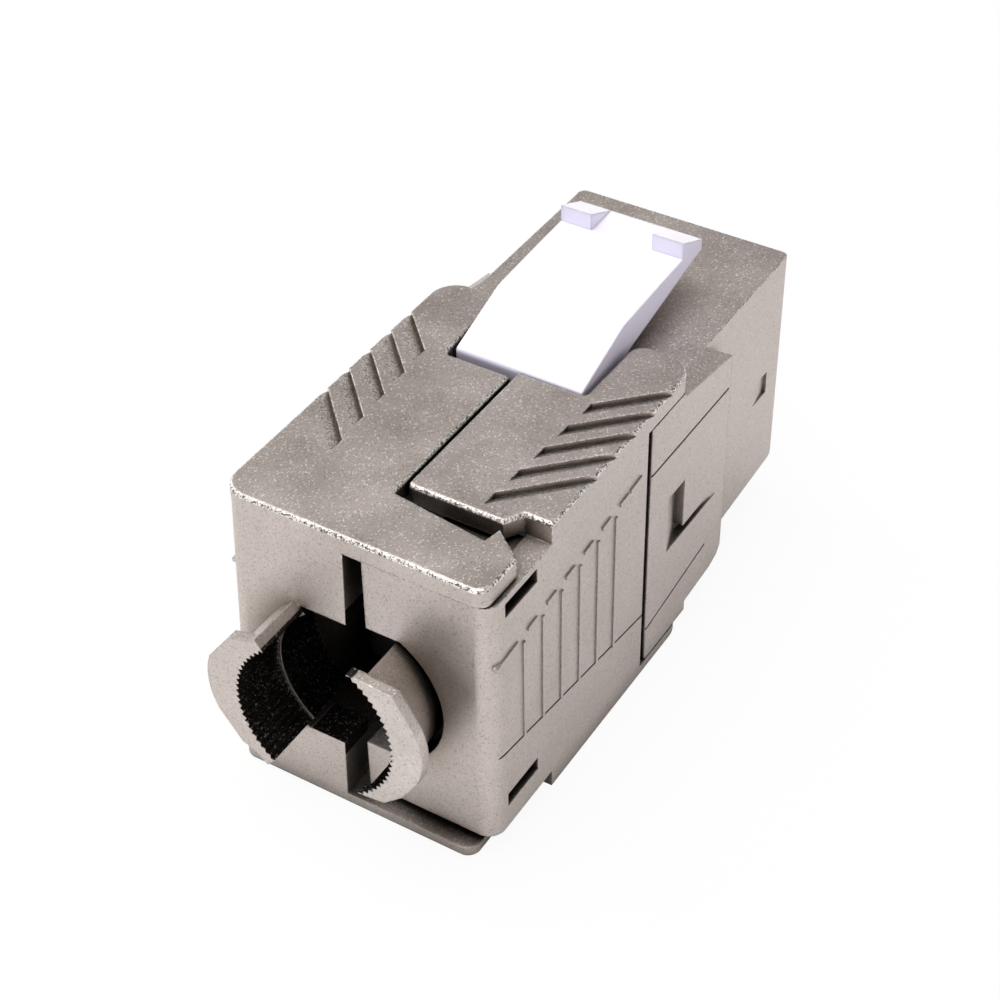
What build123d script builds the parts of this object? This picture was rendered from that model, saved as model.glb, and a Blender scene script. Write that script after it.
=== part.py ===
"""Shielded keystone jack with two swinging wings: one STEP file per piece, in millimetres.

+Y is the port end, -Y the cable end, +Z the latch side. The origin is under the middle of the jack.
"""
from build123d import *
import math
import os

os.makedirs("parts", exist_ok=True)

# Whole jack
# Depths are measured from just behind the nose's rim, towards the cable
wing_half_width = 8.43
wing_height = 20.13
nose_lip = 0.2               # how far the nose's rim stands in front of depth 0
left_jaw_front = 40.6
total_length = nose_lip + left_jaw_front
front_y = total_length / 2 - nose_lip

# Die-cast main housing: the nose that fills the panel cut-out, and the hinge block behind it
nose_width = 14.7
nose_height = 15.65          # at the port end
nose_heel = 16.5             # at the block
nose_drop = 1.33             # top of the nose below the top of the wings
nose_wall = 0.8
nose_corner = 0.45
cavity_height = 14.1
block_front = 9.5
block_rear = 19.3
block_foot_front = 1.98      # underside of the block at its front
block_foot_middle = 1.68     # and just in front of the wings' ears
block_foot_rear = 0.97       # and over the ears
block_foot_step = 14.2
block_notch = 1.4            # how far its front face falls back beside the nose
nose_overlap = 0.6           # the nose runs on into the block
block_corner = 0.12
block_side_wall = 3.08       # beside the rear chamber, room for the hinge pins
chamber_under = 1.05         # wall below the rear chamber
chamber_over = 2.87          # wall above it
panel_lug_width = 10.0
panel_lug_front = 0.9        # the lug's height at its front
panel_lug_rear = 1.0

# Details of the casting; heights are measured down from the top of the nose
foot_edge_depth = 0.6        # bevel under the port end
foot_edge_height = 0.8
foot_edge_mid = 0.15
foot_edge_half = 0.4
heel_step = 0.9              # from the nose's underside down to the block's
heel_bevel = 0.35
heel_bevel_depth = 0.4
heel_depth = 1.3
shoulder_front = 8.6         # slanting cut on the block's top corners
shoulder_rear = 15.5
shoulder_inner = 0.47        # where it meets the nose's side, at its front
shoulder_outer = 1.5         # over the wings' side, at its front
shoulder_rise = 1.02         # how much higher it lies at its rear
recess_front = 15.0          # L-shaped pocket in the block's side
recess_depth = 0.65
recess_width = 2.4
recess_top = 6.7
recess_foot = 10.3
recess_lip = 0.55
recess_ramp_end = 10.0
relief_front = 1.75          # small pocket in the nose's side
relief_depth = 0.22
relief_width = 2.7
relief_top = 7.8
relief_foot = 9.4
high_line = 3.34             # engraved lines on the block's sides
low_line_front = 14.14
low_line_rear = 15.44
line_start = 0.2
low_line_start = 2.3

# Wings
seam = 0.6                   # gap between a wing's side and the hinge block
rear_inside = 35.0
left_rear_top = 36.75        # the left wing's rear face leans a little
left_rear_foot = 37.4
right_rear = 36.55
wing_wall = 1.58
top_plate = 1.2
bottom_plate = 0.8
plate_gap = 0.1              # from the middle plane to each plate's edge
left_cutout = 20.6
right_cutout = 20.05
left_corner_top = 1.6        # the rounding of the left wing's rear corner, at the top
left_corner_foot = 0.7
right_rear_corner = 1.05
rim_round = 0.25
small_round = 0.4
bar_round = 0.85
ear_round = 1.75             # about the hinge pin
ear_gap = 0.3                # beside the latch
ear_inner_round = 1.1
cross_bar_front = 32.3
cross_bar_end = 33.1
top_bar_inset = 0.25         # the cross bars end this far short of the right wing's side
bottom_bar_inset = 0.98
hook_tip_x = 6.2
hook_tip = 31.95
hook_root_x = 5.95
hook_back = 33.5
right_plate_rear = 31.5
notch_front = 30.4
notch_side = 6.1
notch_step = 6.75
right_rear_top_gap = 0.15    # under the top cross bar
right_rear_bottom_gap = 0.6
ledge_width = 4.6
ledge_thickness = 0.55
ledge_drop = 0.35
wall_slot_front = 31.95
wall_slot_length = 3.2
wall_slot_height = 0.95
top_slot_drop = 1.8          # its top edge below the top of the wing
bottom_slot_foot = 3.05

# Hinges of the wings
pivot_inset = 1.83           # from the wing's side
pivot_depth = 16.0
pin_radius = 0.6
pin_in_block = 0.03
pin_in_ear = 0.06
pin_bottom = 0.25
pin_top_cover = 0.45

# Cable hole and jaws, measured from the hole's axis
axis_drop = 9.37             # below the top of the nose
hole_radius = 5.3
hole_flat = 4.55
slot_left = 0.5
slot_right = 0.55
low_slot_shift = 0.5
jaw_radius = 5.25
jaw_tooth = 0.28
jaw_tooth_step = 4.7         # degrees between the teeth
left_neck = 0.95
left_jaw_from = 128          # degrees round the hole's axis
left_jaw_to = 231
left_jaw_inside = 33.4
ring_depth = 36.8            # fine raised ring inside the fixed jaw
ring_width = 0.16
ring_height = 0.1
flange_thickness = 0.7
right_jaw_front = 40.0
right_jaw_shift = 1.2        # how far the sliding jaw stands in towards the fixed one
right_neck_shift = 0.45
right_neck_radius = 5.2
slide_plate = 0.85
slide_gap = 0.15
slide_plate_gap = 0.55       # short of the wing's wall
slide_plate_half = 6.0
slide_plate_inner = 1.9
guide_thickness = 0.9
guide_lip = 0.75
guide_reach = 3.4
right_jaw_half_angle = 50
right_bore_half_angle = 60
left_rim = ((-3.2, 4.9), (-5.6, 4.15), (-7.1, 2.1), (-7.4, 0.1), (-6.9, -1.9), (-5.5, -3.8),
            (-3.9, -4.4), (-3.2, -3.9))
right_rim = ((1.3, 4.6), (4.55, 4.35), (5.75, 2.3), (6.15, 0.2), (5.75, -1.6), (4.7, -3.2),
             (3.5, -4.3), (1.5, -4.5))

# Grips
grip_count = 5
grip_pitch = 2.13
grip_depth = 0.38
grip_width = 1.15
grip_run = 1.02              # depth gained for each millimetre inwards
left_grip_first = 26.62      # depth of the rearmost notch's front edge at the wing's side
left_grip_inner = 4.95
right_grip_first = 25.67
right_grip_inner = 4.5
grip_inner_step = 0.15       # each further notch ends this much nearer the side
rib_first = 33.4
rib_pitch = 1.98
rib_count = 6
rib_width = 0.22
rib_height = 0.1
panel_rear = 36.2
panel_front = 20.65
panel_top_rear = 14.33
panel_top_front = 16.28
panel_low_rear = 7.48
panel_low_front = 4.88
dash_length = 0.95
dash_gap = 0.4
line_width = 0.16
line_depth = 0.1

# Release latch, one white moulding
latch_half_width = 4.15
latch_front = 5.6
latch_lug_back = 8.0
latch_bend = 15.2
latch_rear = 19.9
latch_front_rise = 3.31      # heights above the top of the nose
latch_lug_rise = 4.35
latch_plate_rise = 3.25
latch_bend_rise = 2.91
latch_rear_rise = 1.27
latch_skirt_rise = 0.85
latch_lug_width = 2.1
latch_edge = 0.75
latch_skirt_end = 14.1
latch_shell = 0.85
latch_pin_depth = 18.0
latch_pin_drop = 1.07        # below the top of the nose
latch_pin_radius = 0.45
latch_boss = 1.0
latch_pocket_front = 15.9
latch_pocket_drop = 2.32
latch_side_gap = 0.2
latch_pin_half = 5.5
latch_nose_run = 0.9         # underside of the free end
latch_nose_rise = 0.1
latch_heel_run = 0.4
latch_heel_gap = 0.25        # over the block
latch_rear_round = 0.3
latch_bend_round = 3.0
latch_hollow_run = 0.6

# Port insert, contacts and circuit board
insert_front = 0.5
insert_rear = 13.2
insert_gap = 0.05
port_width = 11.8
port_height = 8.0
port_roof_wall = 2.4         # from the nose's ceiling down to the socket
port_rear = 12.2
tab_width = 6.2
tab_height = 1.87
tab_rear = 9.0
contact_count = 8
contact_pitch = 1.02
contact_width = 0.4
contact_thickness = 0.3
contact_slot = 0.6
contact_run_rise = 1.23      # above the socket
contact_bend_depth = 3.9
contact_bend_run = 0.35
contact_bend_drop = 0.5
contact_slot_margin = 0.8
contact_tip_depth = 10.4
contact_tip_drop = 3.7
board_front = 13.4
board_thickness = 1.0
board_width = 12.5
board_gap = 0.2              # above and below the board
spring_thickness = 0.15
spring_height = 2.2
spring_slot_margin = 0.4
spring_front = 1.9
spring_rear = 9.2
spring_bulge = 0.75
spring_foot = 0.9

# Wire terminals
idc_rear = 21.3
idc_gap = 0.2                # above and below the terminal block
idc_side_gap = 0.15
idc_step = 2.8
idc_row_step = 7.0
blade_width = 1.9
blade_thickness = 0.35
blade_fork = 0.4
blade_rear = 24.4
blade_fork_length = 2.6
blade_slot_gap = 0.1
blade_end_gap = 0.3
cap_front = 21.6
cap_rear = 28.0
cap_side_gap = 0.65
cap_gap_low = 1.03           # over the wings' bottom plates
cap_gap_high = 1.8           # under their top plates
cap_bore = 3.6
cap_floor_depth = 2.9        # depth of the comb in front of the bore
cap_groove = 1.3
cap_groove_depth = 2.2
cap_corner = 1.0

nose_top = wing_height - nose_drop
nose_bottom = nose_top - nose_height
nose_length = block_front + block_notch + nose_overlap
block_half_width = wing_half_width
chamber_half = block_half_width - block_side_wall
cavity_roof = nose_top - nose_wall
cavity_floor = cavity_roof - cavity_height
chamber_floor = block_foot_front + chamber_under
chamber_roof = nose_top - chamber_over
nose_inner = nose_width / 2 - nose_wall
axis_height = nose_top - axis_drop
wall_inner = wing_half_width - wing_wall
pivot_x = wing_half_width - pivot_inset
ear_inner = latch_half_width + ear_gap
slide_plate_edge = wall_inner - slide_plate_gap
top_inside = wing_height - top_plate
top_bar_reach = wing_half_width - top_bar_inset
bottom_bar_reach = wing_half_width - bottom_bar_inset
wall_front = block_rear + seam
latch_front_height = nose_top + latch_front_rise
latch_lug_height = nose_top + latch_lug_rise
latch_plate_height = nose_top + latch_plate_rise
latch_bend_height = nose_top + latch_bend_rise
latch_rear_height = nose_top + latch_rear_rise
latch_skirt_foot = nose_top + latch_skirt_rise
latch_pin_height = nose_top - latch_pin_drop
latch_pocket_floor = nose_top - latch_pocket_drop
port_roof = cavity_roof - port_roof_wall
port_floor = port_roof - port_height
tab_floor = port_floor - tab_height
contact_run_height = port_roof + contact_run_rise
contact_tip_height = contact_run_height - contact_tip_drop
board_rear = board_front + board_thickness
idc_half_width = chamber_half - idc_side_gap
idc_floor = chamber_floor + idc_gap
idc_roof = chamber_roof - idc_gap
cap_half_width = wall_inner - cap_side_gap
cap_floor = bottom_plate + cap_gap_low
cap_roof = top_inside - cap_gap_high


def at(depth):
    """Y of a place that lies this far behind the port face."""
    return front_y - depth


def brick(x0, x1, d0, d1, z0, z1):
    """Box between two sides, two depths behind the port face and two heights."""
    centre = Pos((x0 + x1) / 2, at((d0 + d1) / 2), (z0 + z1) / 2)
    return centre * Box(abs(x1 - x0), abs(d1 - d0), abs(z1 - z0))


def plan_face(points):
    """Flat face seen from above, from (x, depth) corners."""
    return Polygon(*[(x, at(d)) for x, d in points], align=None)


def round_corners(face, corners, radius):
    """Round the corners of a plan face that lie at the given (x, depth) places."""
    for x, d in corners:
        nearest = face.vertices().sort_by_distance((x, at(d), 0))[0]
        face = fillet(nearest, radius)
    return face


def rise(face, z0, z1):
    """Upright solid on a plan face."""
    return extrude(Pos(0, 0, z0) * face, amount=z1 - z0, dir=(0, 0, 1))


def side_solid(points, x0, x1):
    """Solid with a (depth, height) outline, running across the jack."""
    face = Plane.YZ.offset(x0) * Polygon(*[(at(d), z) for d, z in points], align=None)
    return extrude(face, amount=x1 - x0, dir=(1, 0, 0))


def rear_solid(face, d0, d1):
    """Solid with an outline seen from the cable end, centred on the cable axis."""
    placed = Pos(0, at(d0), axis_height) * (Plane.XZ * face)
    return extrude(placed, amount=d1 - d0, dir=(0, -1, 0))


def upright(radius, x, depth, z0, z1):
    """Vertical cylinder."""
    return Pos(x, at(depth), (z0 + z1) / 2) * Cylinder(radius, z1 - z0)


def across(radius, depth, height, x0, x1):
    """Cylinder that lies across the jack."""
    return Pos((x0 + x1) / 2, at(depth), height) * Rot(0, 90, 0) * Cylinder(radius, x1 - x0)


def strip(points, thickness):
    """Corners of a bent strip of even thickness that follows a line of points."""
    half = thickness / 2
    headings = []
    for (ax, ay), (bx, by) in zip(points, points[1:]):
        length = math.hypot(bx - ax, by - ay)
        headings.append(((bx - ax) / length, (by - ay) / length))
    first, last = headings[0], headings[-1]
    normals = [(-first[1], first[0])]
    for (ax, ay), (bx, by) in zip(headings, headings[1:]):
        nx, ny = -(ay + by), ax + bx
        scale = (nx * -ay + ny * ax)
        normals.append((nx / scale, ny / scale))
    normals.append((-last[1], last[0]))
    one_side = [(x + half * nx, y + half * ny) for (x, y), (nx, ny) in zip(points, normals)]
    other_side = [(x - half * nx, y - half * ny) for (x, y), (nx, ny) in zip(points, normals)]
    return one_side + other_side[::-1]


def shoulder_cut():
    """Slanting cut that takes the top corner off the block beside the nose."""
    outer = wing_half_width + 0.3
    half = nose_width / 2
    ceiling = nose_top + 2
    ends = []
    for depth, lift in ((shoulder_front, 0), (shoulder_rear, shoulder_rise)):
        inner_height = nose_top - shoulder_inner + lift
        outer_height = nose_top - shoulder_outer + lift
        outline = Polygon((half, inner_height), (outer, outer_height), (outer, ceiling), (half, ceiling),
                          align=None)
        ends.append((Plane.XZ.offset(-at(depth)) * outline).faces()[0])
    return loft(ends, ruled=True)


def main_housing():
    """Zinc casting: hollow nose, hinge block, latch pocket and panel lug."""
    half = nose_width / 2
    heel_height = nose_top - nose_heel
    rim = -nose_lip
    nose_face = plan_face([(-half, rim), (half, rim), (half, nose_length), (-half, nose_length)])
    nose_face = round_corners(nose_face, [(-half, rim), (half, rim)], nose_corner)
    profile = [(rim, nose_top), (rim, nose_bottom + foot_edge_height),
               (rim + foot_edge_mid, nose_bottom + foot_edge_half), (rim + foot_edge_depth, nose_bottom),
               (nose_length, heel_height), (nose_length, nose_top)]
    nose = rise(nose_face, heel_height, nose_top) & side_solid(profile, -half, half)

    side = block_half_width
    notch = block_front + block_notch
    block_face = plan_face([(side, block_rear), (-side, block_rear), (-side, block_front), (-half, notch),
                            (half, notch), (side, block_front)])
    block_face = round_corners(block_face, [(-side, block_rear), (side, block_rear)], block_corner)
    heel = block_foot_front + heel_step
    outline = [(block_front, nose_top), (block_rear, nose_top), (block_rear, block_foot_rear),
               (block_foot_step, block_foot_rear), (block_foot_step, block_foot_middle),
               (block_front + heel_depth, block_foot_front),
               (block_front + heel_bevel_depth, block_foot_front + heel_bevel), (block_front, heel)]
    block = rise(block_face, block_foot_rear, nose_top) & side_solid(outline, -side, side)

    lug_top = nose_bottom + nose_wall / 2
    lug = side_solid([(latch_front, lug_top), (latch_front, nose_bottom - panel_lug_front),
                      (latch_lug_back, heel_height - panel_lug_rear), (latch_lug_back, lug_top)],
                     -panel_lug_width / 2, panel_lug_width / 2)
    body = nose + block + lug

    body -= brick(-nose_inner, nose_inner, -1, board_rear, cavity_floor, cavity_roof)
    body -= brick(-chamber_half, chamber_half, board_rear, block_rear + 1, chamber_floor, chamber_roof)
    pocket_half = latch_half_width + latch_side_gap
    body -= brick(-pocket_half, pocket_half, latch_pocket_front, block_rear + 1,
                  latch_pocket_floor, nose_top + 1)
    body -= across(latch_pin_radius + pin_in_block, latch_pin_depth, latch_pin_height,
                   -latch_pin_half, latch_pin_half)
    for sign in (-1, 1):
        body -= upright(pin_radius + pin_in_block, sign * pivot_x, pivot_depth,
                        block_foot_rear - 1, nose_top + 1)

    cuts = [shoulder_cut()]
    over = 0.1
    pocket = side - recess_depth
    foot = nose_top - recess_foot
    cuts.append(rise(plan_face([(side + over, recess_front), (pocket, recess_front),
                                (side + over, recess_front + recess_width)]),
                     foot - recess_lip, nose_top - recess_top))
    cuts.append(rise(plan_face([(side + over, recess_front), (pocket, recess_front),
                                (side + over, recess_ramp_end)]), foot - recess_lip, foot))
    cuts.append(rise(plan_face([(half + over, relief_front), (half - relief_depth, relief_front),
                                (half + over, relief_front + relief_width)]),
                     nose_top - relief_foot, nose_top - relief_top))
    cuts.append(brick(side - line_depth, side + 1, block_front + line_start, block_rear + 1,
                      nose_top - high_line - line_width, nose_top - high_line))
    low_rear = nose_top - low_line_rear
    low_front = nose_top - low_line_front
    low_start = block_front + low_line_start
    cuts.append(side_solid([(block_rear + 1, low_rear - line_width), (low_start, low_front - line_width),
                            (low_start, low_front), (block_rear + 1, low_rear)],
                           side - line_depth, side + 1))
    for cut in cuts:
        body -= cut
        body -= mirror(cut, about=Plane.YZ)
    return body


def wing_outline(cutout, rear_points):
    """Plan of a wing's top or bottom plate, drawn for the right-hand side."""
    side = wing_half_width
    front = pivot_depth - ear_round
    points = [(plate_gap, cutout), (ear_inner, cutout), (ear_inner, front), (side, front)]
    face = plan_face(points + rear_points)
    face = round_corners(face, [(side, front)], ear_round)
    face = round_corners(face, [(ear_inner, front)], ear_inner_round)
    return round_corners(face, [(ear_inner, cutout)], small_round)


def rimmed(plate, height):
    """Round the rim of a plate's outer face."""
    face = plate.faces().filter_by(Axis.Z).sort_by(lambda f: abs(f.center().Z - height))[0]
    return fillet(face.outer_wire().edges(), rim_round)


def wall_plan(slot_edge, rear, corner):
    """Plan of a wing's side wall and its half of the rear wall."""
    side = wing_half_width
    face = plan_face([(wall_inner, wall_front), (side, wall_front), (side, rear),
                      (slot_edge, rear), (slot_edge, rear_inside), (wall_inner, rear_inside)])
    face = round_corners(face, [(side, rear)], corner)
    return round_corners(face, [(wall_inner, rear_inside)], small_round)


def cable_hole(radius):
    """Hole for the cable, flat above and below."""
    outline = Circle(radius) & Rectangle(4 * radius, 2 * hole_flat)
    return rear_solid(outline, left_jaw_inside - 1, left_rear_foot + 1)


def side_ribs():
    """Fine raised lines on the outside of a wing: uprights, and dashes along the panel's top line."""
    side = wing_half_width
    foot = side - 0.2
    crown = side + rib_height
    top_slope = (panel_top_front - panel_top_rear) / (panel_rear - panel_front)
    low_slope = (panel_low_front - panel_low_rear) / (panel_rear - panel_front)
    ribs = []
    for index in range(rib_count):
        depth = rib_first - index * rib_pitch
        run = panel_rear - depth
        ribs.append(brick(foot, crown, depth - rib_width / 2, depth + rib_width / 2,
                          panel_low_rear + run * low_slope + rib_width,
                          panel_top_rear + run * top_slope - dash_gap))
    ends = [(panel_rear, rib_first + rib_pitch - dash_gap - dash_length)]
    for index in range(rib_count):
        start = rib_first - index * rib_pitch - dash_gap
        ends.append((start, start - dash_length))
    ends.append((rib_first - rib_count * rib_pitch + dash_gap, panel_front))
    for rear, front in ends:
        low_rear = panel_top_rear + (panel_rear - rear) * top_slope
        low_front = panel_top_rear + (panel_rear - front) * top_slope
        ribs.append(side_solid([(rear, low_rear), (front, low_front), (front, low_front + rib_width),
                                (rear, low_rear + rib_width)], foot, crown))
    return ribs


def wing_features(wing, grip_first, grip_inner):
    """Grips, panel lines, side slots and hinge holes that both wings share, on the right-hand side."""
    side = wing_half_width
    for index in range(grip_count):
        reach = side + 1 - grip_inner - index * grip_inner_step
        front = at(grip_first - grip_run - index * grip_pitch)
        notch = Plane.YZ.offset(side + 1) * Polygon(
            (front, wing_height + 1), (front, wing_height - grip_depth),
            (front - grip_width, wing_height), (front - grip_width, wing_height + 1), align=None)
        wing -= extrude(notch, amount=reach * math.hypot(1, grip_run), dir=(-1, -grip_run, 0))
    for rib in side_ribs():
        wing += rib
    low_line = [(panel_rear, panel_low_rear), (wall_front - 1, panel_low_front),
                (wall_front - 1, panel_low_front + line_width), (panel_rear, panel_low_rear + line_width)]
    wing -= side_solid(low_line, side - line_depth, side + 1)
    for foot in (wing_height - top_slot_drop - wall_slot_height, bottom_slot_foot):
        wing -= brick(wall_inner - 0.1, side + 1, wall_slot_front, wall_slot_front + wall_slot_length,
                      foot, foot + wall_slot_height)
    wing -= upright(pin_radius + pin_in_ear, pivot_x, pivot_depth, -1, wing_height - pin_top_cover + 0.1)
    return wing


def toothed_bore(shift, radius, d0, d1, first_angle, last_angle):
    """Round bore with fine teeth along the cable, over a range of angles."""
    outline = Circle(radius)
    count = int((last_angle - first_angle) / jaw_tooth_step)
    for index in range(count + 1):
        angle = math.radians(first_angle + (index + 0.5) * jaw_tooth_step)
        tooth_x = radius * math.cos(angle)
        tooth_z = radius * math.sin(angle)
        groove = Pos(tooth_x, tooth_z) * Rot(0, 0, math.degrees(angle) + 45) * Rectangle(
            jaw_tooth * 1.41, jaw_tooth * 1.41)
        outline += groove
    return rear_solid(Pos(shift, 0) * outline, d0, d1)


def rim_face(corners):
    """Outline of a jaw's flange: straight sides, with an arc from the third corner to the fifth."""
    edges = [Line(corners[0], corners[1]), Line(corners[1], corners[2]), ThreePointArc(*corners[2:5])]
    edges += [Line(start, end) for start, end in zip(corners[4:], corners[5:])]
    edges.append(Line(corners[-1], corners[0]))
    return make_face(edges)


def jaw_sector(first_angle, last_angle):
    """Wedge of the rear view, round the cable's axis, that holds one jaw."""
    reach = 12
    angles = [math.radians(angle) for angle in (first_angle, (first_angle + last_angle) / 2, last_angle)]
    return Polygon((0, 0), *[(reach * math.cos(angle), reach * math.sin(angle)) for angle in angles],
                   align=None)


def left_jaw():
    """Fixed half of the cable clamp: a toothed arch with an outer flange."""
    sector = jaw_sector(left_jaw_from, left_jaw_to)
    neck = rear_solid(Circle(jaw_radius + left_neck) & sector, left_jaw_inside, left_jaw_front)
    flange = rear_solid(rim_face(left_rim) & sector, left_jaw_front - flange_thickness, left_jaw_front)
    bore = toothed_bore(0, jaw_radius, left_jaw_inside - 1, left_jaw_front + 1,
                        left_jaw_from, left_jaw_to)
    ring_face = (Circle(jaw_radius + left_neck / 2) - Circle(jaw_radius - ring_height)) & sector
    ring = rear_solid(ring_face, ring_depth, ring_depth + ring_width)
    return neck + flange - bore + ring


def left_wing():
    """Wing with the two cross bars and the fixed jaw, drawn right-handed and mirrored."""
    side = wing_half_width
    top_points = [(side, left_rear_top), (-top_bar_reach, left_rear_top), (-top_bar_reach, hook_back),
                  (-hook_tip_x, hook_tip), (-hook_root_x, cross_bar_end), (plate_gap, cross_bar_front)]
    outline = wing_outline(left_cutout, top_points)
    outline = round_corners(outline, [(side, left_rear_top)], left_corner_top)
    outline = round_corners(outline, [(-top_bar_reach, left_rear_top)], bar_round)
    outline = round_corners(outline, [(-top_bar_reach, hook_back)], small_round)
    top = rimmed(rise(outline, top_inside, wing_height), wing_height)
    low_points = [(side, left_rear_foot), (-bottom_bar_reach, left_rear_foot),
                  (-bottom_bar_reach, hook_back), (-hook_tip_x, cross_bar_front),
                  (plate_gap, cross_bar_front)]
    outline = wing_outline(left_cutout, low_points)
    outline = round_corners(outline, [(side, left_rear_foot)], left_corner_foot)
    outline = round_corners(outline, [(-bottom_bar_reach, left_rear_foot)], bar_round)
    bottom = rimmed(rise(outline, 0, bottom_plate), 0)
    foot_plan = Pos(0, 0, bottom_plate) * wall_plan(slot_left, left_rear_foot, left_corner_foot)
    top_plan = Pos(0, 0, top_inside) * wall_plan(slot_left, left_rear_top, left_corner_top)
    middle = loft([foot_plan, top_plan], ruled=True)
    low_slot = brick(0, slot_left + low_slot_shift, rear_inside - 0.1, left_rear_foot + 0.1,
                     bottom_plate, axis_height - hole_flat)
    wing = top + bottom + (middle - low_slot - cable_hole(jaw_radius + left_neck / 2))
    wing = wing_features(wing, left_grip_first, left_grip_inner)
    return mirror(wing, about=Plane.YZ) + left_jaw()


def right_wing():
    """Wing that tucks under the cross bars and guides the sliding jaw."""
    side = wing_half_width
    rear_points = [(side, notch_front), (notch_step, notch_front), (notch_side, right_plate_rear),
                   (plate_gap, right_plate_rear)]
    outline = wing_outline(right_cutout, rear_points)
    outline = round_corners(outline, [(plate_gap, right_plate_rear)], small_round)
    top = rimmed(rise(outline, top_inside, wing_height), wing_height)
    bottom = rimmed(rise(outline, 0, bottom_plate), 0)
    rear_top = top_inside - right_rear_top_gap
    rear_foot = bottom_plate + right_rear_bottom_gap
    walls = rise(wall_plan(slot_right, right_rear, right_rear_corner), bottom_plate, top_inside)
    above = brick(-1, side + 1, notch_front, right_rear + 1, rear_top, top_inside + 1)
    below = brick(-1, side + 1, notch_front, right_rear + 1, 0, rear_foot)
    low_slot = brick(0, slot_right, rear_inside - 0.1, right_rear + 0.1,
                     rear_foot, axis_height - hole_flat)
    fill = brick(slot_right - low_slot_shift, slot_right + 0.2, rear_inside, right_rear,
                 rear_foot, axis_height - hole_flat)
    walls = walls - above - below - low_slot + fill - cable_hole(hole_radius)
    ledge_top = top_inside - ledge_drop
    ledge = brick(wall_inner - ledge_width, wall_inner + 0.2, notch_front, rear_inside + 0.2,
                  ledge_top - ledge_thickness, ledge_top)
    walls += ledge
    for sign in (-1, 1):
        edge = axis_height + sign * (slide_plate_half + slide_gap)
        inner = rear_inside - slide_plate - 2 * slide_gap
        walls += brick(slide_plate_edge - guide_reach, wall_inner + 0.2, inner - guide_lip, rear_inside + 0.2,
                       edge, edge + sign * guide_thickness)
        walls += brick(slide_plate_edge - guide_reach, wall_inner + 0.2, inner - guide_lip, inner,
                       edge - sign * guide_thickness, edge + sign * guide_thickness)
    return wing_features(top + bottom + walls, right_grip_first, right_grip_inner)


def clamp_jaw():
    """Sliding half of the cable clamp: flange, neck through the hole, and a plate inside the wing."""
    shift = -right_jaw_shift
    sector = Pos(shift, 0) * jaw_sector(-right_jaw_half_angle, right_jaw_half_angle)
    plate_front = rear_inside - slide_gap - slide_plate
    neck_face = (Pos(-right_neck_shift, 0) * Circle(right_neck_radius)) & sector
    neck = rear_solid(neck_face, plate_front, right_jaw_front)
    flange = rear_solid(rim_face(right_rim), right_jaw_front - flange_thickness, right_jaw_front)
    plate_face = Pos((slide_plate_inner + slide_plate_edge) / 2, 0) * Rectangle(
        slide_plate_edge - slide_plate_inner, 2 * slide_plate_half)
    plate = rear_solid(plate_face, plate_front, plate_front + slide_plate)
    bore = toothed_bore(shift, jaw_radius, plate_front - 1, right_jaw_front + 1,
                        -right_bore_half_angle, right_bore_half_angle)
    return neck + flange + plate - bore


def release_latch():
    """White moulding: sloping plate with two catch lugs, skirts and a pin boss at its root."""
    half = latch_half_width
    root_floor = latch_pin_height
    lip = latch_front_height - latch_edge
    outline = [(latch_front, latch_front_height), (latch_lug_back, latch_plate_height),
               (latch_bend, latch_bend_height), (latch_rear, latch_rear_height),
               (latch_rear, root_floor), (latch_pin_depth - latch_boss, root_floor),
               (latch_pocket_front + latch_heel_run, nose_top + latch_heel_gap),
               (latch_skirt_end, latch_skirt_foot),
               (latch_front + latch_nose_run, lip - latch_nose_rise), (latch_front, lip)]
    body = side_solid(outline, -half, half)
    for depth, height, radius in ((latch_rear, latch_rear_height, latch_rear_round),
                                  (latch_bend, latch_bend_height, latch_bend_round)):
        edge = body.edges().filter_by(Axis.X).sort_by_distance((0, at(depth), height))[0]
        body = fillet(edge, radius)
    sunk = latch_edge / 4
    lug = [(latch_front, latch_front_height - sunk), (latch_front, latch_front_height),
           (latch_lug_back, latch_lug_height), (latch_lug_back, latch_plate_height - sunk)]
    for sign in (-1, 1):
        body += side_solid(lug, sign * half, sign * (half - latch_lug_width))
    hollow_front = latch_lug_back + latch_hollow_run
    roof_front = latch_plate_height - latch_shell
    roof_rear = latch_bend_height - latch_shell
    hollow = [(hollow_front, nose_top), (hollow_front, roof_front), (latch_bend, roof_rear),
              (latch_bend, nose_top)]
    body -= side_solid(hollow, -half + latch_shell, half - latch_shell)
    body += across(latch_boss, latch_pin_depth, latch_pin_height, -half, half)
    return body - across(latch_pin_radius + pin_in_ear, latch_pin_depth, latch_pin_height, -half - 1, half + 1)


def hinge_pin(sign):
    """Steel pin that a wing swings on."""
    return upright(pin_radius, sign * pivot_x, pivot_depth, pin_bottom, wing_height - pin_top_cover)


def port_insert():
    """Black moulding that forms the plug's socket and combs the spring contacts."""
    half = nose_inner - insert_gap
    floor = cavity_floor + insert_gap
    roof = cavity_roof - insert_gap
    body = brick(-half, half, insert_front, insert_rear, floor, roof)
    body -= brick(-port_width / 2, port_width / 2, insert_front - 1, port_rear, port_floor, port_roof)
    body -= brick(-tab_width / 2, tab_width / 2, insert_front - 1, tab_rear, tab_floor, port_floor)
    for index in range(contact_count):
        x = contact_x(index)
        body -= brick(x - contact_slot / 2, x + contact_slot / 2, contact_bend_depth - contact_slot_margin,
                      insert_rear + 1, port_roof - 0.1, contact_run_height + contact_thickness)
    low = (port_floor + port_roof) / 2 - spring_height / 2 - spring_slot_margin
    high = low + spring_height + 2 * spring_slot_margin
    for sign in (-1, 1):
        body -= brick(sign * (port_width / 2 - 0.1), sign * (half + 1), spring_front - spring_slot_margin,
                      spring_rear + spring_slot_margin, low, high)
    return body


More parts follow.
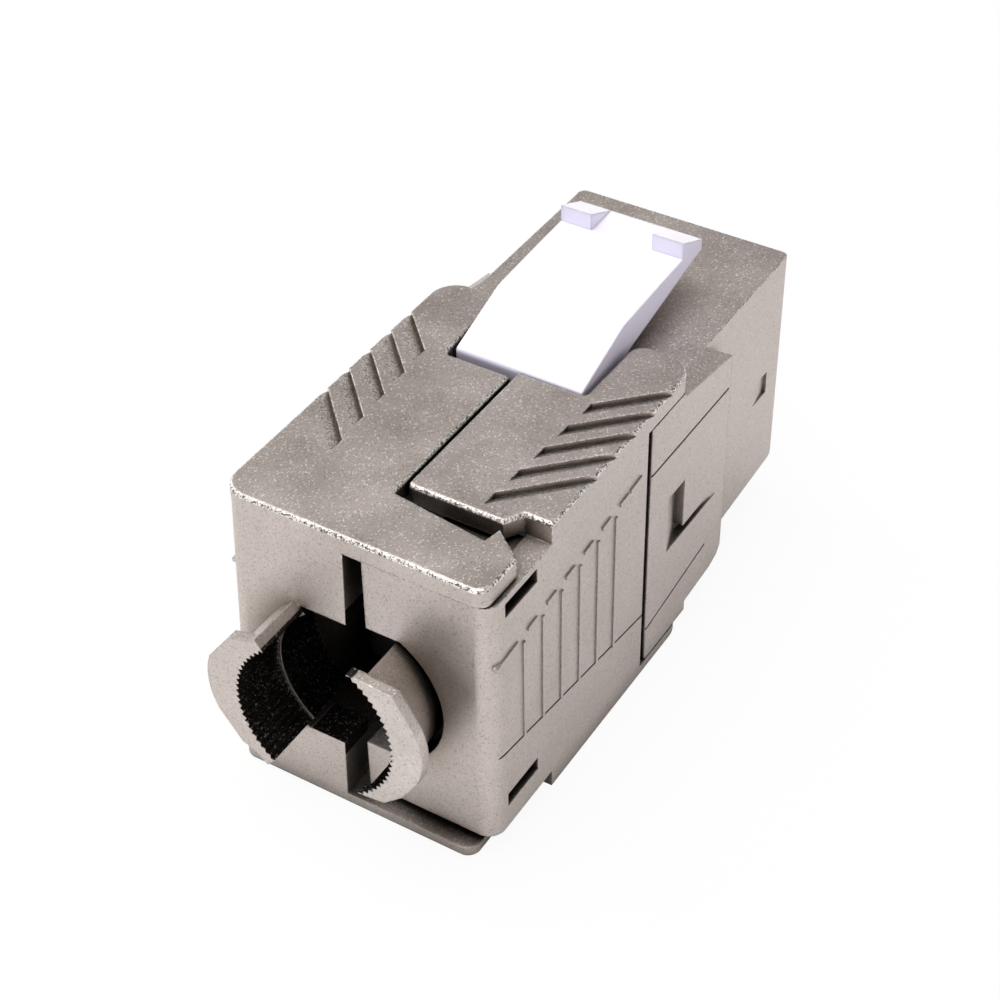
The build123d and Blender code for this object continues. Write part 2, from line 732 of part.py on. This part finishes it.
def contact_x(index):
    """Sideways place of one of the eight plug contacts."""
    return (index - (contact_count - 1) / 2) * contact_pitch


def jack_contact(index):
    """Gold-plated spring wire from the board, bent back into the socket."""
    line = [(board_front, contact_run_height), (contact_bend_depth, contact_run_height),
            (contact_bend_depth - contact_bend_run, contact_run_height - contact_bend_drop),
            (contact_tip_depth, contact_tip_height)]
    x = contact_x(index)
    return side_solid(strip(line, contact_thickness), x - contact_width / 2, x + contact_width / 2)


def shield_spring(sign):
    """Thin spring that touches the plug's screen, against the nose's inner wall."""
    wall = nose_inner - spring_thickness / 2
    middle = (spring_front + spring_rear) / 2
    line = [(sign * wall, spring_rear), (sign * wall, spring_rear - spring_foot),
            (sign * (wall - spring_bulge), middle), (sign * wall, spring_front + spring_foot),
            (sign * wall, spring_front)]
    centre = (port_floor + port_roof) / 2
    return rise(plan_face(strip(line, spring_thickness)), centre - spring_height / 2,
                centre + spring_height / 2)


def circuit_board():
    """Upright board between the plug contacts and the wire terminals."""
    floor = cavity_floor + board_gap
    roof = cavity_roof - board_gap
    return brick(-board_width / 2, board_width / 2, board_front, board_rear, floor, roof)


def idc_places():
    """Centres of the eight wire terminals, four in each row."""
    rows = (axis_height - idc_row_step / 2, axis_height + idc_row_step / 2)
    return [((column - 1.5) * idc_step, row) for row in rows for column in range(4)]


def idc_block():
    """Black block that holds the wire terminals."""
    body = brick(-idc_half_width, idc_half_width, board_rear, idc_rear, idc_floor, idc_roof)
    for x, z in idc_places():
        body -= brick(x - blade_width / 2 - blade_slot_gap, x + blade_width / 2 + blade_slot_gap,
                      board_front, idc_rear + 1, z - blade_thickness / 2 - blade_slot_gap,
                      z + blade_thickness / 2 + blade_slot_gap)
    return body


def idc_contact(x, z):
    """Forked blade that bites through a wire's insulation."""
    blade = brick(x - blade_width / 2, x + blade_width / 2, board_rear, blade_rear,
                  z - blade_thickness / 2, z + blade_thickness / 2)
    blade -= brick(x - blade_fork / 2, x + blade_fork / 2, blade_rear - blade_fork_length,
                   blade_rear + 1, z - 1, z + 1)
    return blade


def wire_cap():
    """Black cap that lays the eight wires across the blades and lets the cable through."""
    half = cap_half_width
    face = plan_face([(-half, cap_front), (half, cap_front), (half, cap_rear), (-half, cap_rear)])
    face = round_corners(face, [(-half, cap_rear), (half, cap_rear)], cap_corner)
    body = rise(face, cap_floor, cap_roof)
    body -= rear_solid(Circle(cap_bore), cap_front + cap_floor_depth, cap_rear + 1)
    for x, z in idc_places():
        body -= brick(x - blade_width / 2 - blade_slot_gap, x + blade_width / 2 + blade_slot_gap,
                      cap_front - 1, blade_rear + blade_end_gap, z - blade_thickness, z + blade_thickness)
        outer = cap_roof + 1 if z > axis_height else cap_floor - 1
        inner = z - cap_groove if z > axis_height else z + cap_groove
        body -= brick(x - blade_fork, x + blade_fork, cap_front - 1, cap_front + cap_groove_depth,
                      inner, outer)
    return body


pieces = {
    "main_housing": main_housing(),
    "left_wing": left_wing(),
    "right_wing": right_wing(),
    "clamp_jaw": clamp_jaw(),
    "release_latch": release_latch(),
    "latch_pin": across(latch_pin_radius, latch_pin_depth, latch_pin_height,
                        -latch_pin_half, latch_pin_half),
    "hinge_pin_left": hinge_pin(-1),
    "hinge_pin_right": hinge_pin(1),
    "port_insert": port_insert(),
    "circuit_board": circuit_board(),
    "idc_block": idc_block(),
    "wire_cap": wire_cap(),
    "shield_spring_left": shield_spring(-1),
    "shield_spring_right": shield_spring(1),
}
for number in range(contact_count):
    pieces[f"jack_contact_{number + 1}"] = jack_contact(number)
for number, (blade_x, blade_z) in enumerate(idc_places()):
    pieces[f"idc_contact_{number + 1}"] = idc_contact(blade_x, blade_z)

for name, piece in pieces.items():
    export_step(piece, f"parts/{name}.step")
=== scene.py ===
import math

import bpy
import bmesh
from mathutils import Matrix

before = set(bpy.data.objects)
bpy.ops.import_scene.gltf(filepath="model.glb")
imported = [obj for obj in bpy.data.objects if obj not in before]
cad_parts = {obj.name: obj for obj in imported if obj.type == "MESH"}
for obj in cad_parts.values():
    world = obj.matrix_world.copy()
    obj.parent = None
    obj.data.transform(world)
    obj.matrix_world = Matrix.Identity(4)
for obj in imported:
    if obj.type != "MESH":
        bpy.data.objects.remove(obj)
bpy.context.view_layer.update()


# Camera: behind the cable end, above and to the right, where the photographer stood.
# A long lens, so that the jack's edges hardly converge.
camera_data = bpy.data.cameras.new("camera")
camera_data.lens = 76.2
camera_data.sensor_width = 36.0
camera_data.clip_start = 0.005
camera = bpy.data.objects.new("camera", camera_data)
bpy.context.collection.objects.link(camera)
camera.location = (0.04999, -0.08122, 0.09204)
camera.rotation_euler = (math.radians(49.533), math.radians(0.802), math.radians(31.526))
bpy.context.scene.camera = camera
bpy.context.scene.view_settings.view_transform = "Standard"


# Studio floor: a wide sheet of white paper, level with the underside of the wings.
# It stays pure white to the camera apart from a faint shadow round the jack.
floor_half = 2.0
floor_drop = 0.00005
floor_colour = (0.93, 0.93, 0.93, 1)
floor_shadow = 0.07
floor_mesh = bpy.data.meshes.new("floor")
sheet = bmesh.new()
bmesh.ops.create_grid(sheet, x_segments=1, y_segments=1, size=floor_half)
bmesh.ops.translate(sheet, verts=sheet.verts, vec=(0, 0, -floor_drop))
sheet.to_mesh(floor_mesh)
sheet.free()
floor = bpy.data.objects.new("floor", floor_mesh)
bpy.context.collection.objects.link(floor)

paper = bpy.data.materials.new("white_paper")
paper.use_nodes = True
tree = paper.node_tree
tree.nodes.clear()
paper_out = tree.nodes.new("ShaderNodeOutputMaterial")
paper_matte = tree.nodes.new("ShaderNodeBsdfDiffuse")
paper_matte.inputs["Color"].default_value = floor_colour
paper_white = tree.nodes.new("ShaderNodeEmission")
paper_white.inputs["Strength"].default_value = 1.0
paper_path = tree.nodes.new("ShaderNodeLightPath")
paper_share = tree.nodes.new("ShaderNodeMath")
paper_share.operation = "MULTIPLY"
paper_share.inputs[1].default_value = 1 - floor_shadow
paper_mix = tree.nodes.new("ShaderNodeMixShader")
tree.links.new(paper_path.outputs["Is Camera Ray"], paper_share.inputs[0])
tree.links.new(paper_share.outputs[0], paper_mix.inputs["Fac"])
tree.links.new(paper_matte.outputs[0], paper_mix.inputs[1])
tree.links.new(paper_white.outputs[0], paper_mix.inputs[2])
tree.links.new(paper_mix.outputs[0], paper_out.inputs["Surface"])
floor_mesh.materials.append(paper)


# Studio light: a pale room that is white to the camera and darker overhead, a large soft
# lamp above, a long one on the left for the edges, and a weak one behind the camera.
room_low = (0.75, 0.74, 0.73, 1)
room_high = (0.33, 0.31, 0.30, 1)
room_high_from = 0.75
world = bpy.data.worlds.new("studio")
world.use_nodes = True
tree = world.node_tree
tree.nodes.clear()
world_out = tree.nodes.new("ShaderNodeOutputWorld")
room = tree.nodes.new("ShaderNodeBackground")
backdrop = tree.nodes.new("ShaderNodeBackground")
backdrop.inputs["Color"].default_value = (1, 1, 1, 1)
backdrop.inputs["Strength"].default_value = 1.0
room_place = tree.nodes.new("ShaderNodeTexCoord")
room_split = tree.nodes.new("ShaderNodeSeparateXYZ")
room_ramp = tree.nodes.new("ShaderNodeValToRGB")
room_ramp.color_ramp.elements[0].position = 0.0
room_ramp.color_ramp.elements[0].color = room_low
room_ramp.color_ramp.elements[1].position = room_high_from
room_ramp.color_ramp.elements[1].color = room_high
world_path = tree.nodes.new("ShaderNodeLightPath")
world_mix = tree.nodes.new("ShaderNodeMixShader")
tree.links.new(room_place.outputs["Generated"], room_split.inputs[0])
tree.links.new(room_split.outputs["Z"], room_ramp.inputs["Fac"])
tree.links.new(room_ramp.outputs["Color"], room.inputs["Color"])
tree.links.new(world_path.outputs["Is Camera Ray"], world_mix.inputs["Fac"])
tree.links.new(room.outputs[0], world_mix.inputs[1])
tree.links.new(backdrop.outputs[0], world_mix.inputs[2])
tree.links.new(world_mix.outputs[0], world_out.inputs["Surface"])
bpy.context.scene.world = world


def soft_lamp(name, place, aim, width, height, power):
    """Rectangular lamp at a place, turned to face a point."""
    data = bpy.data.lights.new(name, "AREA")
    data.shape = "RECTANGLE"
    data.size = width
    data.size_y = height
    data.energy = power
    lamp = bpy.data.objects.new(name, data)
    direction = [a - b for a, b in zip(aim, place)]
    yaw = math.atan2(direction[1], direction[0]) - math.pi / 2
    pitch = math.atan2(math.hypot(direction[0], direction[1]), -direction[2])
    lamp.location = place
    lamp.rotation_euler = (pitch, 0, yaw)
    bpy.context.collection.objects.link(lamp)


jack_middle = (0, 0, 0.010)
soft_lamp("top_lamp", (-0.05, -0.05, 0.45), jack_middle, 0.35, 0.35, 1.5)
soft_lamp("edge_lamp", (-0.32, 0.02, 0.22), jack_middle, 0.10, 0.40, 0.35)
soft_lamp("front_lamp", (0.12, -0.42, 0.16), jack_middle, 0.30, 0.12, 0.35)


# Main housing: zinc die casting, blasted and nickel plated to a satin grey.
# Painted light: the shot marks get a painted glint where they face up, rims a broken painted
# highlight, and hollows painted shade.
nose_top_height = 0.0188
# Painted highlight: between these heights the wings' top rims start to brighten.
crown_from, crown_to = 0.0192, 0.0198        # heights between which the wings' top rims begin
cloud_scale = 230
rim_radius = 0.00016
hollow_reach = 0.004
bore_inside, bore_outside = 0.00556, 0.00560
pit_brown = (0.16, 0.14, 0.12, 1)
painted_glint_white = (0.98, 0.94, 0.90, 1)
painted_rim_highlight_white = (1.0, 0.98, 0.95, 1)
painted_pocket_shade_gold = (0.30, 0.245, 0.18, 1)
painted_hollow_shade_black = (0.012, 0.010, 0.009, 1)
painted_bore_shade_black = (0.016, 0.014, 0.012, 1)
painted_bore_glint = (0.6, 0.56, 0.52, 1)


def add_node(tree, kind, **values):
    """Add a shader node and set its named inputs."""
    node = tree.nodes.new(kind)
    for name, value in values.items():
        node.inputs[name.replace("_", " ")].default_value = value
    return node


def fresh_material(name):
    """Material with an empty look: its node tree and its Principled shader."""
    material = bpy.data.materials.new(name)
    material.use_nodes = True
    return material, material.node_tree, material.node_tree.nodes["Principled BSDF"]


def give(node_name, material):
    """Dress a CAD node in one material."""
    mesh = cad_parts[node_name].data
    mesh.materials.clear()
    mesh.materials.append(material)


def nickel_casting(name, dark, light, grain_size, grain_depth, gloss, hollow, bore_centre=None):
    """Satin nickel over a blasted casting, with painted glint, painted rim highlights, and painted
    shade in hollows and bore.

    The directions of the surface are the world's. So the painted shade in the bore shifts when a wing
    swings.
    """
    material, tree, shader = fresh_material(name)
    link = tree.links.new
    place = tree.nodes.new("ShaderNodeTexCoord").outputs["Object"]

    def blend(share, under, over):
        """Mix two colours by a share."""
        node = tree.nodes.new("ShaderNodeMix")
        node.data_type = "RGBA"
        for value, socket in ((share, "Factor"), (under, "A"), (over, "B")):
            if isinstance(value, tuple):
                node.inputs[socket].default_value = value
            else:
                link(value, node.inputs[socket])
        return node.outputs["Result"]

    def remap(value, low, high, to_low=0.0, to_high=1.0):
        """Spread a value between two ends, and hold it there."""
        node = tree.nodes.new("ShaderNodeMapRange")
        ends = {"From Min": low, "From Max": high, "To Min": to_low, "To Max": to_high}
        for socket, number in ends.items():
            node.inputs[socket].default_value = number
        link(value, node.inputs["Value"])
        return node.outputs["Result"]

    def join(operation, first, second):
        """Arithmetic on two values."""
        node = tree.nodes.new("ShaderNodeMath")
        node.operation = operation
        link(first, node.inputs[0])
        link(second, node.inputs[1])
        return node.outputs[0]

    grain = add_node(tree, "ShaderNodeTexNoise", Scale=1 / grain_size, Detail=2, Roughness=0.6)
    link(place, grain.inputs["Vector"])
    clouds = add_node(tree, "ShaderNodeTexNoise", Scale=cloud_scale, Detail=5, Roughness=0.6)
    link(place, clouds.inputs["Vector"])
    shots = add_node(tree, "ShaderNodeTexVoronoi", Scale=1 / grain_size)
    link(place, shots.inputs["Vector"])
    chance = tree.nodes.new("ShaderNodeSeparateColor")
    link(shots.outputs["Color"], chance.inputs[0])

    spot = tree.nodes.new("ShaderNodeSeparateXYZ")
    link(place, spot.inputs[0])
    flat = tree.nodes.new("ShaderNodeNewGeometry")
    turned = tree.nodes.new("ShaderNodeSeparateXYZ")
    link(flat.outputs["Normal"], turned.inputs[0])
    level = remap(turned.outputs["Z"], 0.5, 0.9)
    high = remap(spot.outputs["Z"], nose_top_height - 0.0004, nose_top_height)
    tone = blend(remap(clouds.outputs["Fac"], 0.32, 0.68), dark, light)
    pitted = blend(remap(chance.outputs["Red"], 0.16, 0.06, 0.0, 0.4), tone, pit_brown)
    # Painted glint: the shot marks turn near white, more where the face looks up.
    spark = join("MULTIPLY", remap(chance.outputs["Green"], 0.86, 0.98), remap(level, 0, 1, 0.2, 0.8))
    glinted = blend(spark, pitted, painted_glint_white)

    soft_edge = add_node(tree, "ShaderNodeBevel", Radius=rim_radius)
    soft_edge.samples = 4
    bend = tree.nodes.new("ShaderNodeVectorMath")
    bend.operation = "DOT_PRODUCT"
    link(soft_edge.outputs["Normal"], bend.inputs[0])
    link(flat.outputs["Normal"], bend.inputs[1])
    # Painted highlight on the rims: edges, strongest above the nose top, and the wings' top rims turn
    # whitish, broken by random brown flecks.
    corner = remap(bend.outputs["Value"], 0.995, 0.88)
    slant = turned.outputs["Z"]
    rounded = join("MULTIPLY", remap(slant, 0.12, 0.3), remap(slant, 0.93, 0.88))
    top_rim_highlight = join("MULTIPLY", rounded, remap(spot.outputs["Z"], crown_from, crown_to))
    rim_highlight_share = join("MAXIMUM", join("MULTIPLY", corner, remap(high, 0, 1, 0.18, 1.0)), top_rim_highlight)
    broken_rim_highlight = blend(remap(chance.outputs["Blue"], 0.36, 0.42), pit_brown, painted_rim_highlight_white)
    broken = remap(grain.outputs["Fac"], 0.36, 0.48, 0.35, 1.0)
    rim_highlighted = blend(join("MULTIPLY", rim_highlight_share, broken), glinted, broken_rim_highlight)

    # Painted shade: occluded hollows turn warm gold-brown, and deep ones near black.
    depth = add_node(tree, "ShaderNodeAmbientOcclusion", Distance=hollow_reach)
    depth.samples = 4
    pocket_shaded = blend(remap(depth.outputs["AO"], 0.75, 0.45, 0.0, 0.7), rim_highlighted, painted_pocket_shade_gold)
    finish = blend(remap(depth.outputs["AO"], 0.55, 0.25, 0.0, hollow), pocket_shaded, painted_hollow_shade_black)
    # Painted shade in the bore: faces inside it that don't face rearward go near black, with a
    # painted glint.
    if bore_centre:
        from_axis = tree.nodes.new("ShaderNodeVectorMath")
        from_axis.operation = "MULTIPLY_ADD"
        link(place, from_axis.inputs[0])
        from_axis.inputs[1].default_value = (1, 0, 1)
        from_axis.inputs[2].default_value = (-bore_centre[0], 0, -bore_centre[1])
        radius = tree.nodes.new("ShaderNodeVectorMath")
        radius.operation = "LENGTH"
        link(from_axis.outputs[0], radius.inputs[0])
        bore_shade_colour = blend(spark, painted_bore_shade_black, painted_bore_glint)
        within = remap(radius.outputs["Value"], bore_outside, bore_inside, 0.0, 0.96)
        not_rear_face = remap(turned.outputs["Y"], -0.7, -0.4)
        finish = blend(join("MULTIPLY", within, not_rear_face), finish, bore_shade_colour)
    link(finish, shader.inputs["Base Color"])

    satin = remap(clouds.outputs["Fac"], 0.3, 0.7, gloss - 0.06, gloss + 0.08)
    link(satin, shader.inputs["Roughness"])
    bump = add_node(tree, "ShaderNodeBump", Strength=1.0, Distance=grain_depth)
    link(join("ADD", grain.outputs["Fac"], shots.outputs["Distance"]), bump.inputs["Height"])
    link(soft_edge.outputs["Normal"], bump.inputs["Normal"])
    link(bump.outputs["Normal"], shader.inputs["Normal"])
    shader.inputs["Metallic"].default_value = 1.0
    return material


housing_nickel = nickel_casting(
    "housing_nickel", dark=(0.52, 0.465, 0.435, 1), light=(0.57, 0.515, 0.49, 1),
    grain_size=0.00009, grain_depth=0.000009, gloss=0.42, hollow=0.9)
give("main_housing", housing_nickel)


# Left wing: a casting of the same zinc and plating, that swings on its own pin.
# Its two cross bars and the fixed jaw are cast in one with it, and the jaw's bore gets painted shade.
cable_axis_height = 0.00943
left_nickel = nickel_casting(
    "left_wing_nickel", dark=(0.51, 0.455, 0.425, 1), light=(0.58, 0.525, 0.495, 1),
    grain_size=0.00008, grain_depth=0.000008, gloss=0.40, hollow=0.97,
    bore_centre=(0, cable_axis_height))
give("left_wing", left_nickel)


# Right wing: its mate on the other pin, of the same zinc and plating.
# It carries the guides that the sliding jaw runs in.
right_nickel = nickel_casting(
    "right_wing_nickel", dark=(0.52, 0.465, 0.435, 1), light=(0.58, 0.525, 0.50, 1),
    grain_size=0.00008, grain_depth=0.000009, gloss=0.40, hollow=0.97)
give("right_wing", right_nickel)


# Clamp jaw: a small zinc casting that slides in the right wing, plated like it.
# It is a little smoother and paler, and its bore, where shade is painted, lies off the cable's axis.
jaw_bore_shift = -0.0012
jaw_nickel = nickel_casting(
    "jaw_nickel", dark=(0.50, 0.45, 0.42, 1), light=(0.66, 0.61, 0.58, 1),
    grain_size=0.00009, grain_depth=0.000008, gloss=0.34, hollow=0.95,
    bore_centre=(jaw_bore_shift, cable_axis_height))
give("clamp_jaw", jaw_nickel)


# Release latch: white moulding with a smooth, barely glossy face.
# Its skin has the faint ripple of the mould, and its upright faces are painted a lilac shade.
painted_shade_lilac = (0.78, 0.75, 0.91, 1)
latch_white, tree, shader = fresh_material("latch_white")
place = tree.nodes.new("ShaderNodeTexCoord").outputs["Object"]
ripple = add_node(tree, "ShaderNodeTexNoise", Scale=900, Detail=3, Roughness=0.5)
tree.links.new(place, ripple.inputs["Vector"])
blush = tree.nodes.new("ShaderNodeValToRGB")
blush.color_ramp.elements[0].position = 0.35
blush.color_ramp.elements[0].color = (0.90, 0.885, 0.97, 1)
blush.color_ramp.elements[1].position = 0.65
blush.color_ramp.elements[1].color = (0.95, 0.935, 0.99, 1)
tree.links.new(ripple.outputs["Fac"], blush.inputs["Fac"])
latch_face = tree.nodes.new("ShaderNodeNewGeometry")
latch_turn = tree.nodes.new("ShaderNodeSeparateXYZ")
tree.links.new(latch_face.outputs["Normal"], latch_turn.inputs[0])
# Painted shade: faces turned away from up are tinted lilac.
upright = add_node(tree, "ShaderNodeMapRange")
upright.inputs["From Min"].default_value = 0.8
upright.inputs["From Max"].default_value = 0.4
tree.links.new(latch_turn.outputs["Z"], upright.inputs["Value"])
latch_with_painted_shade = tree.nodes.new("ShaderNodeMix")
latch_with_painted_shade.data_type = "RGBA"
latch_with_painted_shade.inputs["B"].default_value = painted_shade_lilac
tree.links.new(upright.outputs["Result"], latch_with_painted_shade.inputs["Factor"])
tree.links.new(blush.outputs["Color"], latch_with_painted_shade.inputs["A"])
tree.links.new(latch_with_painted_shade.outputs["Result"], shader.inputs["Base Color"])
soft_edge = add_node(tree, "ShaderNodeBevel", Radius=0.00025)
skin = add_node(tree, "ShaderNodeBump", Strength=0.25, Distance=0.00001)
tree.links.new(ripple.outputs["Fac"], skin.inputs["Height"])
tree.links.new(soft_edge.outputs["Normal"], skin.inputs["Normal"])
tree.links.new(skin.outputs["Normal"], shader.inputs["Normal"])
shader.inputs["Roughness"].default_value = 0.42
shader.inputs["Subsurface Weight"].default_value = 0.15
shader.inputs["Subsurface Radius"].default_value = (0.0012, 0.0011, 0.0012)
give("release_latch", latch_white)


# Pins: drawn steel wire, cut off square, for the latch and for the two wings.
# Fine rings go round them, from the die.
pin_steel, tree, shader = fresh_material("pin_steel")
place = tree.nodes.new("ShaderNodeTexCoord").outputs["Object"]
rings = add_node(tree, "ShaderNodeTexNoise", Scale=3000, Detail=2)
tree.links.new(place, rings.inputs["Vector"])
steel_tone = tree.nodes.new("ShaderNodeValToRGB")
steel_tone.color_ramp.elements[0].color = (0.42, 0.42, 0.42, 1)
steel_tone.color_ramp.elements[1].color = (0.66, 0.65, 0.64, 1)
tree.links.new(rings.outputs["Fac"], steel_tone.inputs["Fac"])
tree.links.new(steel_tone.outputs["Color"], shader.inputs["Base Color"])
shader.inputs["Metallic"].default_value = 1.0
shader.inputs["Roughness"].default_value = 0.3
for pin in ("latch_pin", "hinge_pin_left", "hinge_pin_right"):
    give(pin, pin_steel)


# Port insert, terminal block and wire cap: black mouldings with a fine spark-eroded skin.
black_moulding, tree, shader = fresh_material("black_moulding")
place = tree.nodes.new("ShaderNodeTexCoord").outputs["Object"]
erosion = add_node(tree, "ShaderNodeTexNoise", Scale=6000, Detail=3, Roughness=0.6)
tree.links.new(place, erosion.inputs["Vector"])
black_tone = tree.nodes.new("ShaderNodeValToRGB")
black_tone.color_ramp.elements[0].color = (0.008, 0.008, 0.009, 1)
black_tone.color_ramp.elements[1].color = (0.030, 0.030, 0.032, 1)
tree.links.new(erosion.outputs["Fac"], black_tone.inputs["Fac"])
tree.links.new(black_tone.outputs["Color"], shader.inputs["Base Color"])
skin = add_node(tree, "ShaderNodeBump", Strength=0.6, Distance=0.00001)
soft_edge = add_node(tree, "ShaderNodeBevel", Radius=0.0001)
tree.links.new(soft_edge.outputs["Normal"], skin.inputs["Normal"])
tree.links.new(erosion.outputs["Fac"], skin.inputs["Height"])
tree.links.new(skin.outputs["Normal"], shader.inputs["Normal"])
shader.inputs["Roughness"].default_value = 0.45
for moulding in ("port_insert", "idc_block", "wire_cap"):
    give(moulding, black_moulding)


# Plug contacts: spring wire, gold plated over nickel.
# The plating is thinner, and paler, in streaks.
contact_gold, tree, shader = fresh_material("contact_gold")
place = tree.nodes.new("ShaderNodeTexCoord").outputs["Object"]
plating = add_node(tree, "ShaderNodeTexNoise", Scale=1800, Detail=3)
tree.links.new(place, plating.inputs["Vector"])
gold_tone = tree.nodes.new("ShaderNodeValToRGB")
gold_tone.color_ramp.elements[0].color = (0.72, 0.46, 0.13, 1)
gold_tone.color_ramp.elements[1].color = (0.93, 0.72, 0.32, 1)
tree.links.new(plating.outputs["Fac"], gold_tone.inputs["Fac"])
tree.links.new(gold_tone.outputs["Color"], shader.inputs["Base Color"])
shader.inputs["Metallic"].default_value = 1.0
shader.inputs["Roughness"].default_value = 0.22
for number in range(1, 9):
    give(f"jack_contact_{number}", contact_gold)


# Circuit board: glass laminate with a green mask, the weave just showing through it.
board_green, tree, shader = fresh_material("board_green")
place = tree.nodes.new("ShaderNodeTexCoord").outputs["Object"]
weave = add_node(tree, "ShaderNodeTexWave", Scale=900)
weave.bands_direction = "DIAGONAL"
tree.links.new(place, weave.inputs["Vector"])
mask_tone = tree.nodes.new("ShaderNodeValToRGB")
mask_tone.color_ramp.elements[0].color = (0.010, 0.075, 0.025, 1)
mask_tone.color_ramp.elements[1].color = (0.020, 0.120, 0.045, 1)
tree.links.new(weave.outputs["Fac"], mask_tone.inputs["Fac"])
tree.links.new(mask_tone.outputs["Color"], shader.inputs["Base Color"])
shader.inputs["Roughness"].default_value = 0.3
give("circuit_board", board_green)


# Wire terminals and screen springs: stamped bronze, tin plated to a soft silver.
tin_plate, tree, shader = fresh_material("tin_plate")
place = tree.nodes.new("ShaderNodeTexCoord").outputs["Object"]
bloom = add_node(tree, "ShaderNodeTexNoise", Scale=2500, Detail=4)
tree.links.new(place, bloom.inputs["Vector"])
tin_tone = tree.nodes.new("ShaderNodeValToRGB")
tin_tone.color_ramp.elements[0].color = (0.58, 0.56, 0.52, 1)
tin_tone.color_ramp.elements[1].color = (0.80, 0.79, 0.76, 1)
tree.links.new(bloom.outputs["Fac"], tin_tone.inputs["Fac"])
tree.links.new(tin_tone.outputs["Color"], shader.inputs["Base Color"])
shader.inputs["Metallic"].default_value = 1.0
shader.inputs["Roughness"].default_value = 0.32
for number in range(1, 9):
    give(f"idc_contact_{number}", tin_plate)
for spring in ("shield_spring_left", "shield_spring_right"):
    give(spring, tin_plate)
